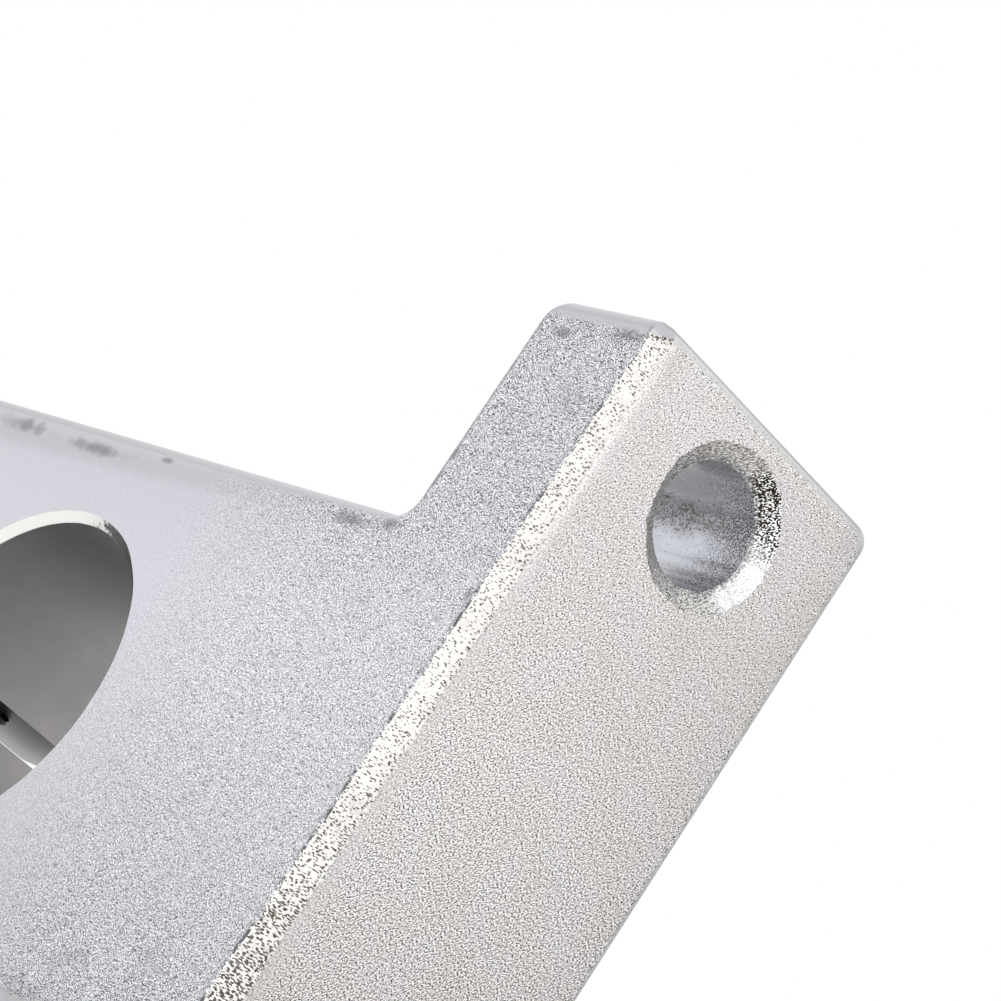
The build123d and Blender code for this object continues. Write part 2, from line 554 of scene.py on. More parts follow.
def cast_skin():
    material, tree, shader = new_material("blasted cast skin")
    place = in_millimetres(tree)
    along, across, height = along_across_height(tree, place)
    underside = ramp(tree, height, 0.35, 0.05)
    sway = cloud(tree, place, 2.5, 3.0)
    edges = use_group(tree, edge_distance, Position=place).outputs
    past_band = minus(tree, edges["Upright"], smooth_band(tree, height))
    past_bevel = times_plus(tree, along, bevel_slope, half_length - bevel_middle)
    past_bevel = plus(tree, across, past_bevel)

    grain = skin_grain(tree, place, along, height, underside)
    grainy = grain_strength(tree, height, past_bevel, past_band, edges["Lower"], sway)
    colour = skin_colour(tree, place, grain, grainy)
    flecked = spilled_flecks(tree, along, height, past_bevel, sway, grain)
    colour = mix_colour(tree, flecked, colour, grey(0.82))
    # Dirt, faint darker patches and the painted burr shadow over the bevel.
    dirt_and_shade = times(tree, front_dirt_and_shade(tree, place, along, across, height, sway), 0.65)
    colour = mix_colour(tree, dirt_and_shade, colour, grey(0.18))
    # A patchy painted warm light on the underside.
    warm_lit = times(tree, ramp(tree, cloud(tree, place, 0.35, 3.0), 0.42, 0.66), underside)
    colour = tinted(tree, warm_lit, colour, painted_warm_light)
    # Painted light and shade over the whole skin.
    shade = tone(tree, skin_shade(tree, along, across, height, past_band))
    colour = tinted(tree, 1.0, colour, shade)
    # A painted cool sheen on the smooth upright edges: lighter and slightly bluer.
    by_edge = times(tree, ramp(tree, edges["Upright"], 0.8, 0.45), ramp(tree, height, 0.4, 1.2))
    cool = times(tree, by_edge, ramp(tree, height, 8.0, 34.0, 1.0, 0.45))
    colour = tinted(tree, cool, colour, painted_cool_sheen)

    finish_metal(tree, shader, colour, ramp(tree, grainy, 0.0, 0.6, 0.26, 0.36))
    raise_bump(tree, shader, grain.outputs["Height"], skin_bump, times(tree, grainy, 0.5))
    feed(tree, shader.inputs["Specular Tint"], grazing_tint)
    return material


skin_material = cast_skin()
print_nodes(skin_material)

# %% [markdown]
# ## The ground bevel
# Grinding laid the bright metal under the skin bare and opened the casting's pores. The metal is
# also painted near white as a highlight, and the pores are painted dark both as pores and as a
# dark reflection. The pores lie close together, so they are the cells of a Voronoi texture, shorter
# along the bevel than across it, each dark up to a reach from its middle. A noise sways that reach,
# which makes the pores ragged and lets some of them close. Toward both ends tumbling has dulled the
# bevel again.


# %% The bevel's finish
pore_scale = (13.5, 5.2, 5.2)
dull_metal = (0.74, 0.71, 0.68, 1)
# Near white: the bright ground metal and a painted highlight.
bright_metal_and_highlight = (0.99, 0.965, 0.935, 1)
worn_metal = (0.57, 0.57, 0.60, 1)
bevel_bump = 0.00002


def pores_and_dark_reflection(tree, place, along, ragged):
    scored = add_node(tree, "ShaderNodeMapping", {"Vector": place, "Scale": pore_scale}).outputs[0]
    inputs = {"Vector": scored, "Scale": 1.0, "Randomness": 0.85}
    from_middle = add_node(tree, "ShaderNodeTexVoronoi", inputs).outputs["Distance"]
    reach = ramp(tree, along, -12.0, 5.0, 0.52, 0.315)
    reach = times_plus(tree, minus(tree, ragged, 0.5), 0.9, reach)
    return ramp(tree, minus(tree, from_middle, reach), 0.04, -0.06)


def toward_end(tree, place, along, across):
    """Rises toward both ends, sooner along the front edge, with a sway."""
    to_end = times_plus(tree, cloud(tree, place, 3.0, 3.0), 0.5, size_of(tree, along))
    return times_plus(tree, plus(tree, across, half_length), -0.45, to_end)


def ground_bevel():
    material, tree, shader = new_material("ground bevel")
    place = in_millimetres(tree)
    along, across, _ = along_across_height(tree, place)
    grain = use_group(tree, blasted_grain, Position=place, Size=0.08, Calm=0.5)
    ragged = cloud(tree, place, 9.0, 1.0)
    pore_and_dark_reflection = pores_and_dark_reflection(tree, place, along, ragged)
    colour = mix_colour(tree, grain.outputs["Lips"], dull_metal, bright_metal_and_highlight)
    # Pores painted dark, partly as a dark reflection.
    colour = mix_colour(tree, pore_and_dark_reflection, colour, grey(0.085, 0.15))

    to_end = toward_end(tree, place, along, across)
    speckled = times(tree, ramp(tree, to_end, 23.0, 23.2), ramp(tree, ragged, 0.54, 0.46))
    colour = mix_colour(tree, speckled, colour, grey(0.05, 0.1))
    worn_end = ramp(tree, to_end, 23.22, 23.30)
    colour = mix_colour(tree, worn_end, colour, worn_metal)
    finish_metal(tree, shader, colour, 0.38)
    depth = minus(tree, grain.outputs["Height"], pore_and_dark_reflection)
    raise_bump(tree, shader, depth, bevel_bump, ramp(tree, worn_end, 0.0, 1.0, 0.5, 0.0))
    return material


bevel_material = ground_bevel()
print_nodes(bevel_material)

# %% [markdown]
# ## The rubbed edge over the bevel
# The edge between the bevel and the front face is rubbed round, and the burr's shadow is painted on
# it in places. It is a strip of faces of its own, so it gets a material of its own: the grain of
# the front face at full strength, darkened as painted shadow wherever a slow noise and a quick one
# are high together.


# %% The rubbed edge's finish
def rubbed_edge():
    material, tree, shader = new_material("rubbed edge")
    place = in_millimetres(tree)
    grain = use_group(tree, blasted_grain, Position=place, Size=0.05, Calm=0.0)
    colour = grained(tree, grey(0.62), grain, grey(0.10), grey(1.0))
    # Painted shadow of the burr, in spots.
    burr_shadow_spots = times_plus(tree, cloud(tree, place, 7.0, 2.0), 0.5, cloud(tree, place, 0.9, 4.0))
    colour = mix_colour(tree, ramp(tree, burr_shadow_spots, 0.70, 0.86), colour, grey(0.14))
    finish_metal(tree, shader, colour, 0.4)
    return material


edge_material = rubbed_edge()
print_nodes(edge_material)

# %% [markdown]
# ## The reamed bore
# A reamer leaves a smooth grey wall, and oil has stained it brown in places. The wall gets darker
# toward the slit, where less light comes in. The chamfer at each face has a painted highlight from
# a little below the shaft's height upward and painted shade under that, with a speckled change
# between the two. One material serves for wall, chamfer and slit, because the distance from the
# middle of the block is enough to find the chamfer.


# %% The bore's finish
oil_stain = (0.66, 0.60, 0.58, 1)
painted_chamfer_highlight = (0.92, 0.91, 0.88, 1)


def reamed_bore():
    material, tree, shader = new_material("reamed bore")
    place = in_millimetres(tree)
    _, across, height = along_across_height(tree, place)
    over_axis = minus(tree, height, shaft_height)
    stain = cloud(tree, place, 0.9, 5.0)
    colour = mix_colour(tree, stain, grey(0.54), grey(0.65))
    brown = times(tree, ramp(tree, stain, 0.52, 0.66), 0.3)
    colour = mix_colour(tree, brown, colour, oil_stain)
    toward_slit = tone(tree, ramp(tree, over_axis, -2.0, bore_radius, 1.0, 0.52))
    colour = tinted(tree, 1.0, colour, toward_slit)

    # The chamfer: a painted highlight above, painted shade below.
    speckled = times_plus(tree, cloud(tree, place, 4.0, 2.0), 5.0, over_axis)
    chamfer_light_and_shade = mix_colour(tree, ramp(tree, speckled, 0.6, 2.0), grey(0.13), painted_chamfer_highlight)
    chamfer_start = half_length - bore_edge_chamfer
    outward = times_plus(tree, stain, 0.12, size_of(tree, across))
    on_rim = ramp(tree, outward, chamfer_start, chamfer_start + 0.1)
    colour = mix_colour(tree, on_rim, colour, chamfer_light_and_shade)
    finish_metal(tree, shader, colour, 0.4)
    return material


bore_material = reamed_bore()
print_nodes(bore_material)

# %% [markdown]
# ## The bolt holes
# They were drilled before blasting, so grit got a little way in: the wall is smooth and bluish,
# with scale, and gets grainy toward the underside. The mouth is torn. Light and shade round the
# hole are painted by angle: a dark reflection along a strip of the wall, with denser scale in it,
# a lighter side, and on one side of the mouth coarse bright and dark flecks of reflection with a
# highlight beside them. All of this depends on depth and on the angle round the hole, so both are
# worked out first, for either hole.


# %% Where in a bolt hole
def hole_places(tree, place):
    """Angle round the nearer hole in degrees, and depth below the nearer face in millimetres."""
    along, across, height = along_across_height(tree, place)
    from_axis = minus(tree, size_of(tree, along), bolt_x)
    angle = calc(tree, "DEGREES", calc(tree, "ARCTAN2", across, from_axis))
    to_middle = size_of(tree, minus(tree, height, base_thickness / 2))
    return angle, minus(tree, base_thickness / 2, to_middle), height


def near_angle(tree, angle, centre, spread, full=0.0):
    """1 up to some degrees from an angle, falling to 0 at a spread from it on both sides."""
    return ramp(tree, size_of(tree, minus(tree, angle, centre)), spread, full)


# %% [markdown]
# ## Wall and mouth of the bolt holes
# Both are layers of one kind, most of them painted light and shade: a colour is mixed in by a mask
# on the angle, with a mottled noise added to the angle so that no border runs straight. The wall
# starts at a ragged depth, and just over it the mouth is darker where its torn rim shades it.


# %% The wall and the mouth
blue_metal = (0.52, 0.525, 0.54, 1)
pale_blue_metal = (0.63, 0.64, 0.66, 1)


def drilled_wall(tree, angle, height, grain, scale, mottle):
    """Bluish metal with scale, a painted dark reflection strip, a painted light side, grainy below.
    """
    wall = mix_colour(tree, mottle, blue_metal, pale_blue_metal)
    # A painted dark reflection along a strip of the wall, with denser scale in it.
    strip = near_angle(tree, times_plus(tree, mottle, 30.0, angle), 76.0, 26.0)
    wall = mix_colour(tree, times(tree, strip, 0.55), wall, grey(0.16, 0.02))
    scaled_below = times_plus(tree, strip, 0.2, 0.30)
    scaly = times(tree, ramp(tree, minus(tree, scale, scaled_below), 0.08, -0.08), 0.8)
    wall = mix_colour(tree, scaly, wall, grey(0.10, 0.05))
    wall = grained(tree, wall, grain, grey(0.2), grey(0.8), ramp(tree, height, 5.0, 0.8))
    # A painted lighter side of the wall.
    painted_light = times(tree, near_angle(tree, angle, -30.0, 60.0, 15.0), 0.6)
    return mix_colour(tree, painted_light, wall, grey(0.8))


def torn_mouth(tree, angle, grain, mottle):
    """Grainy and torn, with a painted lighter side, a painted highlight and reflection flecks."""
    swayed = times_plus(tree, minus(tree, mottle, 0.5), 24.0, angle)
    # The mouth painted lighter on one side.
    painted_light = near_angle(tree, angle, 168.0, 55.0, 30.0)
    painted_light = larger(tree, painted_light, near_angle(tree, angle, -180.0, 32.0, 5.0))
    mouth = mix_colour(tree, painted_light, grey(0.47, 0.03), grey(0.64, 0.02))
    mouth = grained(tree, mouth, grain, grey(0.16, 0.1), grey(0.88))
    # A painted highlight beside the flecks.
    painted_highlight = mix_colour(tree, grain.outputs["Dents"], grey(0.95), grey(0.62))
    mouth = mix_colour(tree, near_angle(tree, swayed, 103.0, 40.0, 14.0), mouth, painted_highlight)
    brighter = plus(tree, grain.outputs["Height"], ramp(tree, angle, 15.0, 75.0, -0.03, 0.04))
    # Flecks of painted dark and bright reflection, on one side of the mouth only.
    flecks = mix_colour(tree, ramp(tree, brighter, 0.50, 0.58), grey(0.02, 0.3), grey(1.0))
    return mix_colour(tree, near_angle(tree, swayed, 44.0, 42.0, 20.0), mouth, flecks)


# %% The bolt holes' finish
hole_bump = 0.00006


def drilled_hole():
    material, tree, shader = new_material("drilled hole")
    place = in_millimetres(tree)
    angle, depth, height = hole_places(tree, place)
    grain = use_group(tree, blasted_grain, Position=place, Size=0.065, Calm=0.3)
    scale = cloud(tree, place, 8.0, 2.0)
    mottle = cloud(tree, place, 0.8, 4.0)
    wall = drilled_wall(tree, angle, height, grain, scale, mottle)
    mouth = torn_mouth(tree, angle, grain, mottle)
    ragged = times_plus(tree, scale, 0.5, minus(tree, depth, 0.25))
    shaded = times(tree, ramp(tree, ragged, 0.50, 0.58), near_angle(tree, angle, 45.0, 130.0, 95.0))
    mouth = mix_colour(tree, times(tree, shaded, 0.7), mouth, grey(0.16, 0.05))
    colour = mix_colour(tree, ramp(tree, ragged, 0.58, 0.66), mouth, wall)
    finish_metal(tree, shader, colour, 0.36)
    strength = ramp(tree, depth, 4.0, 0.6, 0.05, 0.8)
    raise_bump(tree, shader, grain.outputs["Height"], hole_bump, strength)
    return material


hole_material = drilled_hole()
print_nodes(hole_material)

# %% [markdown]
# ## The casting
# The block starts as one cube, cut in two places, with the middle of its top pulled up. Two
# boxes joined by a Boolean would do as well, but this keeps it one closed shell from the start,
# with no joint lines.


# %% The base, and the upright pulled up from it
def everything(bm):
    return bm.verts[:] + bm.edges[:] + bm.faces[:]


def base_and_upright():
    bm = bmesh.new()
    bmesh.ops.create_cube(bm, size=1)
    bmesh.ops.scale(bm, vec=(base_width, block_length, base_thickness), verts=bm.verts)
    bmesh.ops.translate(bm, vec=(0, 0, base_thickness / 2), verts=bm.verts)
    for side in (-1, 1):
        bmesh.ops.bisect_plane(
            bm, geom=everything(bm), plane_co=(side * upright_side, 0, 0), plane_no=(1, 0, 0)
        )
    base_top = Vector((0, 0, base_thickness))
    middle = min(bm.faces, key=lambda face: (face.calc_center_median() - base_top).length)
    grown = bmesh.ops.extrude_face_region(bm, geom=[middle])["geom"]
    bmesh.ops.delete(bm, geom=[middle], context="FACES_ONLY")
    top = [part for part in grown if isinstance(part, bmesh.types.BMVert)]
    bmesh.ops.translate(bm, vec=(0, 0, block_height - base_thickness), verts=top)
    bmesh.ops.dissolve_limit(bm, angle_limit=0.01, verts=bm.verts, edges=bm.edges)
    return bm


block = base_and_upright()
print("base and upright:", len(block.verts), "vertices,", len(block.faces), "faces")

# %% [markdown]
# ## Inner corners and the ground bevel
# The mould gives the two inner corners their fillets. The bevel is ground on later, along the
# front edge of the underside, with the part held a little askew, so that it narrows toward the
# right. The Bevel operator would keep it equally wide, so one tilted plane cuts the edge off, and
# a new face closes the cut.


# %% Fillets and bevel
round_segments = 10
skin_index = 0
bevel_index = 1
edge_index = 4


def round_edges(bm, edges, radius, segments=round_segments, clamped=True):
    made = bmesh.ops.bevel(
        bm, geom=edges, offset=radius, segments=segments, profile=0.5, affect="EDGES", material=-1,
        clamp_overlap=clamped,
    )
    return made["faces"]


def fillet_inner_corners(bm):
    corners = edges_between(
        bm,
        lambda a, b: near(a.x, b.x)
        and near(abs(a.x), upright_side)
        and near(a.z, base_thickness)
        and near(b.z, base_thickness),
    )
    round_edges(bm, corners, inner_corner_radius)


def grind_bevel(bm):
    """Cuts the front lower edge off, closes the cut and returns the direction that it faces."""
    left = Vector((-half_base, bevel_at_left_end - half_length, 0))
    right = Vector((half_base, bevel_at_right_end - half_length, 0))
    up_front = Vector((half_base, -half_length, bevel_at_right_end * math.tan(bevel_angle)))
    outward = (up_front - right).cross(left - right).normalized()
    cut = bmesh.ops.bisect_plane(
        bm, geom=everything(bm), plane_co=right, plane_no=outward, clear_outer=True
    )["geom_cut"]
    rim = [part for part in cut if isinstance(part, bmesh.types.BMEdge)]
    face = bmesh.ops.contextual_create(bm, geom=rim)["faces"][0]
    face.material_index = bevel_index
    return outward


fillet_inner_corners(block)
bevel_outward = grind_bevel(block)
print("bevel faces:", [round(part, 3) for part in bevel_outward])

# %% [markdown]
# ## Tumbled edges
# Tumbling in a drum of stones rounds every outer edge that is left, and the tops of the ears'
# ends most. A Bevel modifier would round the bevel's two long edges too, which are much sharper
# on the real part, so the edges are chosen here: all that turn by more than 30 degrees, but for
# those two.


# %% Rounding the outer edges
sharp_turn = math.radians(30)


def runs_along_x(edge):
    return abs((edge.verts[0].co - edge.verts[1].co).normalized().x) > 0.9


def tumble_edges(bm):
    ear_tops = edges_between(
        bm,
        lambda a, b: near(a.x, b.x)
        and near(abs(a.x), half_base)
        and min(a.z, b.z) > base_thickness - tolerance,
    )
    round_edges(bm, ear_tops, ear_top_radius)
    sharp = []
    for edge in bm.edges:
        on_bevel = any(face.material_index == bevel_index for face in edge.link_faces)
        if edge.calc_face_angle() > sharp_turn and not (runs_along_x(edge) and on_bevel):
            sharp.append(edge)
    round_edges(bm, sharp, edge_radius, clamped=False)


def flat_half_width(bm):
    """How far the flat front face of the upright reaches from the middle."""
    in_front = [vert.co for vert in bm.verts if near(vert.co.y, -half_length)]
    return max(place.x for place in in_front if place.z > 2 * base_thickness)


tumble_edges(block)
bmesh.ops.recalc_face_normals(block, faces=block.faces)
print("rounding of the upright's edges:", round(upright_side - flat_half_width(block), 3))
print("rounded casting:", len(block.verts), "vertices,", len(block.faces), "faces")

# %% [markdown]
# ## The bevel's worn edges
# The bevel on the real part was rubbed down on a coarse belt, so its two long edges wander by
# about 0.1 mm and the tumbling took their sharpness off. Here the bevel is split across into
# short pieces, each split point is moved a little inside its own face, and the two long chains
# of edges get a very small rounding. The new faces under the front face get the rubbed edge's
# finish, and those beside the underside get the skin's. Noise at a fixed place is the same in
# each run, so the edges always wander alike.


# %% Wandering edges along the bevel
wander_step = 0.3
wander_height = 0.09


def on_flat(face):
    return face.normal.dot(bevel_outward) > 0.999


def split_bevel(bm):
    for index in range(1, int(base_width / wander_step)):
        strip = [face for face in bm.faces if face.material_index == bevel_index and on_flat(face)]
        geometry = strip + list({edge for face in strip for edge in face.edges})
        geometry += list({vert for face in strip for vert in face.verts})
        place = (index * wander_step - half_base, 0, 0)
        bmesh.ops.bisect_plane(bm, geom=geometry, plane_co=place, plane_no=(1, 0, 0))


def wander(x, row):
    slow = noise.noise(Vector((x * 0.9, row * 7.3, 0)))
    quick = noise.noise(Vector((x * 2.6, row * 3.1, 5)))
    return wander_height * (slow + 0.6 * quick)


# %% The wandering edges rounded
worn_radius = 0.08
worn_segments = 2
worn_turn = math.radians(20)


def long_bevel_edges(bm):
    """The edges between the flat of the bevel and the front face or the underside."""
    found = []
    for edge in bm.edges:
        flats = [face for face in edge.link_faces if on_flat(face)]
        if len(flats) == 1 and edge.calc_face_angle() > worn_turn and runs_along_x(edge):
            found.append(edge)
    return found


def wear_bevel(bm):
    """Moves the split points inside the front face or the underside, then rounds both chains."""
    bm.normal_update()
    split_bevel(bm)
    bm.normal_update()
    long_edges = long_bevel_edges(bm)
    for vert in {vert for edge in long_edges for vert in edge.verts}:
        if abs(vert.co.x) > half_base - ear_top_radius:
            continue
        if near(vert.co.z, 0):
            vert.co.y += wander(vert.co.x, 1)
        else:
            vert.co.z += wander(vert.co.x, 2)
    lowest_rise = bevel_at_right_end * math.tan(bevel_angle)
    for face in round_edges(bm, long_edges, worn_radius, worn_segments):
        in_front = face.calc_center_median().z > lowest_rise / 2
        face.material_index = edge_index if in_front else skin_index
    return len(long_edges)


print("worn edges along the bevel:", wear_bevel(block))

casting = object_from(
    block, "cast_block", skin_material, bevel_material, bore_material, hole_material, edge_material
)

# %% [markdown]
# ## Holes
# Bore, bolt holes and screw holes are turned shapes. Each cutting tool is a half outline spun
# round its axis, and a Boolean takes it out of the casting, as a drill or a boring bar would. The
# tool also brings its own material, so each wall gets the finish of its hole. A turned tool gives
# perfect rims, so its outer rings are first let run a little out of round.


# %% Turned cutting tools
def lathe(outline, steps):
    """A closed turned solid along +Z from a half outline of (height, radius) pairs."""
    bm = bmesh.new()
    points = [bm.verts.new((radius, 0, height)) for height, radius in outline]
    edges = [bm.edges.new(pair) for pair in zip(points, points[1:])]
    bmesh.ops.spin(
        bm, geom=points + edges, cent=(0, 0, 0), axis=(0, 0, 1), angle=math.tau, steps=steps,
        use_merge=True, use_duplicate=False,
    )
    bmesh.ops.remove_doubles(bm, verts=bm.verts, dist=0.0001)
    bmesh.ops.recalc_face_normals(bm, faces=bm.faces)
    return bm


def roughen_mouths(bm, inner, amount, inner_share):
    """Sways a tool's outer rings by an amount, and those at its inner radius by a share of it."""
    for vert in bm.verts:
        radius = math.hypot(vert.co.x, vert.co.y)
        if radius > inner - tolerance:
            around = Vector((vert.co.x, vert.co.y, vert.co.z * 3)) / radius
            swing = noise.noise(around * 5) + 0.6 * noise.noise(around * 14)
            share = amount if radius > inner + tolerance else inner_share * amount
            vert.co.xy *= 1 + share * swing / radius


def place_along(bm, axis, origin):
    """Turns what was made along +Z to another axis and moves it there."""
    turn = Vector((0, 0, 1)).rotation_difference(Vector(axis)).to_matrix()
    bmesh.ops.rotate(bm, cent=(0, 0, 0), matrix=turn, verts=bm.verts)
    bmesh.ops.translate(bm, vec=origin, verts=bm.verts)


def combine(thing, bm, operation, material):
    """Cuts a shape out of a piece, joins it on, or keeps only what the two share."""
    tool = object_from(bm, "tool", material)
    boolean = thing.modifiers.new("combine", "BOOLEAN")
    boolean.operation = operation
    boolean.object = tool
    boolean.solver = "EXACT"
    boolean.material_mode = "TRANSFER"
    apply_modifiers(thing)
    bpy.data.objects.remove(tool)
    print(thing.name, len(thing.data.vertices), "vertices after", operation.lower())


# %% [markdown]
# ## The bore
# A boring bar goes through in one pass, and a chamfering tool breaks the edge at each face. Both
# are in one outline here, which runs on past the faces, because a cut that ends exactly on a face
# would leave a Boolean in doubt. The wall is true, and only the chamfers' rims are ragged.

# %% The bore cut
bore_steps = 192
bore_raggedness = 0.09
bore_reach = half_length + overrun
bore_outline = [
    (-bore_reach, 0),
    (-bore_reach, bore_radius + bore_edge_chamfer + overrun),
    (bore_edge_chamfer - half_length, bore_radius),
    (half_length - bore_edge_chamfer, bore_radius),
    (bore_reach, bore_radius + bore_edge_chamfer + overrun),
    (bore_reach, 0),
]
bore_tool = lathe(bore_outline, bore_steps)
roughen_mouths(bore_tool, bore_radius, bore_raggedness, 0.0)
place_along(bore_tool, (0, 1, 0), (0, 0, shaft_height))
combine(casting, bore_tool, "DIFFERENCE", bore_material)

# %% [markdown]
# ## The bolt holes cut
# One hole goes through each ear, with a flared mouth below and above. Drill and flare are one
# outline again. These mouths are torn, so they are swayed four times as much as the bore's, and
# the walls between them a little.

# %% The bolt holes cut
bolt_steps = 160
bolt_raggedness = 0.35
wall_share = 0.2
flare_slope = bolt_mouth_flare / bolt_mouth_depth
bolt_outline = [
    (-overrun, 0),
    (-overrun, bolt_hole_radius + bolt_mouth_flare + overrun * flare_slope),
    (bolt_mouth_depth, bolt_hole_radius),
    (base_thickness - bolt_mouth_depth, bolt_hole_radius),
    (base_thickness + overrun, bolt_hole_radius + bolt_mouth_flare + overrun * flare_slope),
    (base_thickness + overrun, 0),
]
for side in (-1, 1):
    bolt_tool = lathe(bolt_outline, bolt_steps)
    roughen_mouths(bolt_tool, bolt_hole_radius, bolt_raggedness, wall_share)
    place_along(bolt_tool, (0, 0, 1), (side * bolt_x, 0, 0))
    combine(casting, bolt_tool, "DIFFERENCE", hole_material)

# %% [markdown]
# ## The slit
# A saw cuts the upright open from its top down into the bore, which lets the clamp close. Its
# cut is a plain box, so the tool is a cube scaled to it. It starts at the middle of the bore,
# where there is no metal, and runs on past the top and both faces.


# %% The slit cut
def slit_tool():
    bm = bmesh.new()
    bmesh.ops.create_cube(bm, size=1)
    height = block_height + overrun - shaft_height
    bmesh.ops.scale(bm, vec=(slit_width, block_length + 2 * overrun, height), verts=bm.verts)
    bmesh.ops.translate(bm, vec=(0, 0, shaft_height + height / 2), verts=bm.verts)
    return bm


combine(casting, slit_tool(), "DIFFERENCE", bore_material)

# %% [markdown]
# ## The clamp screw's holes
# Over the bore a counterbore takes the screw's head, a clearance hole leads to the slit, and the
# far half is tapped. All three share one axis, so one stepped outline cuts them together, with a
# small chamfer where the tapped hole comes out. The thread itself is on the screw.

# %% The clamp screw's holes cut
screw_hole_steps = 96
counterbore_radius = 3.75
counterbore_depth = 4.5
clearance_hole_radius = 2.25
tapped_hole_radius = 2.05
tapped_mouth_chamfer = 0.35
screw_outline = [
    (-upright_side - overrun, 0),
    (-upright_side - overrun, counterbore_radius),
    (counterbore_depth - upright_side, counterbore_radius),
    (counterbore_depth - upright_side, clearance_hole_radius),
    (0, clearance_hole_radius),
    (0, tapped_hole_radius),
    (upright_side - tapped_mouth_chamfer, tapped_hole_radius),
    (upright_side + overrun, tapped_hole_radius + tapped_mouth_chamfer + overrun),
    (upright_side + overrun, 0),
]
screw_hole_tool = lathe(screw_outline, screw_hole_steps)
place_along(screw_hole_tool, (1, 0, 0), (0, 0, screw_height))
combine(casting, screw_hole_tool, "DIFFERENCE", bore_material)

# %% [markdown]
# ## Smooth and sharp
# Large flat faces must shade dead flat right up to their roundings. Weighted normals do that:
# where a large face and a small one meet, the large one decides the direction. Edges that turn
# by more than 28 degrees, such as the rims of the holes, stay sharp. The same step brings the
# piece to metres and hands it to the frame.


# %% Shading, and millimetres to metres
kept_sharp = math.radians(28)
face_area_weight = 80


def finish_piece(thing, slot, *replaced):
    mesh = thing.data
    for polygon in mesh.polygons:
        polygon.use_smooth = True
    mesh.set_sharp_from_angle(angle=kept_sharp)
    mesh.transform(Matrix.Scale(mm, 4))
    weighted = thing.modifiers.new("weighted normals", "WEIGHTED_NORMAL")
    weighted.keep_sharp = True
    weighted.weight = face_area_weight
    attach(thing, "root")
    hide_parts(*replaced)
    print(thing.name, len(mesh.vertices), "vertices,", len(mesh.polygons), "faces")


finish_piece(casting, "blasted_aluminium", "support_block")

# %% [markdown]
# ## The clamp screw's finish
# An M4 socket head cap screw, 20 mm long. Its steel is blackened in a hot salt bath, which leaves
# a thin oxide: dark, slightly blue and a little uneven. It is less of a mirror than bare metal,
# so the material is only partly metallic.


# %% The screw's black finish
blackest = (0.02, 0.02, 0.03, 1)
least_black = (0.05, 0.05, 0.06, 1)


def black_oxide():
    material, tree, shader = new_material("black oxide")
    mottle = cloud(tree, in_millimetres(tree), 3.0, 4.0)
    colour = mix_colour(tree, mottle, blackest, least_black)
    finish_metal(tree, shader, colour, 0.42, metallic=0.6)
    return material


screw_material = black_oxide()
print_nodes(screw_material)

# %% [markdown]
# ## Head and neck of the screw
# The head is upset cold from wire, and knurled so that fingers can grip it. Head and neck are one
# turned shape, with four steps for each tooth of the knurl, and a cosine presses a groove between
# every two teeth. A cutting tool for each groove would take 44 Booleans.


# %% The screw's sizes
screw_radius = 2.0
thread_root = 1.57
thread_crest = 2.06
thread_pitch = 0.7
head_radius = 3.5
head_height = 4.0
head_rim = 0.1
neck_length = 1.2
neck_radius = thread_root + 0.15
neck_overlap = 0.6
knurl_teeth = 44
steps_per_tooth = 4
knurl_depth = 0.11
knurl_start = 0.45
knurl_end = 3.35
knurl_fade = 0.1
print("screw: shank", 2 * screw_radius, "wide, head", 2 * head_radius, "wide")


# %% Head, neck and knurl
def knurled_head():
    outline = [
        (0, 0),
        (0, head_radius - 0.6),
        (0.06, head_radius - 0.35),
        (knurl_start - knurl_fade, head_radius),
        (knurl_start, head_radius),
        (knurl_end, head_radius),
        (knurl_end + knurl_fade, head_radius),
        (head_height - head_rim, head_radius),
        (head_height, head_radius - head_rim),
        (head_height, screw_radius + 0.15),
        (head_height + 0.05, screw_radius),
        (head_height + 0.25, neck_radius),
        (head_height + neck_length, neck_radius),
        (head_height + neck_length + neck_overlap, thread_root - 0.3),
        (head_height + neck_length + neck_overlap, 0),
    ]
    bm = lathe(outline, knurl_teeth * steps_per_tooth)
    for vert in bm.verts:
        tooth = math.atan2(vert.co.y, vert.co.x) / math.tau * knurl_teeth
        at_knurl = knurl_start - tolerance < vert.co.z < knurl_end + tolerance
        if at_knurl and vert.co.xy.length > head_radius - tolerance:
            groove = 0.5 - 0.5 * math.cos(tooth * math.tau)
            vert.co.xy *= 1 - groove * knurl_depth / head_radius
    return bm


head = object_from(knurled_head(), "cap_screw", screw_material)
print("head:", len(head.data.vertices), "vertices")

# %% [markdown]
# ## The rolled thread
# Rolling presses a helix between two dies. Here one pitch of its outline is spun on a helix,
# which gives an endless threaded rod. What it shares with a plain shank that has a chamfered tip
# is the thread, run out at the neck and at the tip as on the real screw.


# %% A threaded rod
steps_per_turn = 32


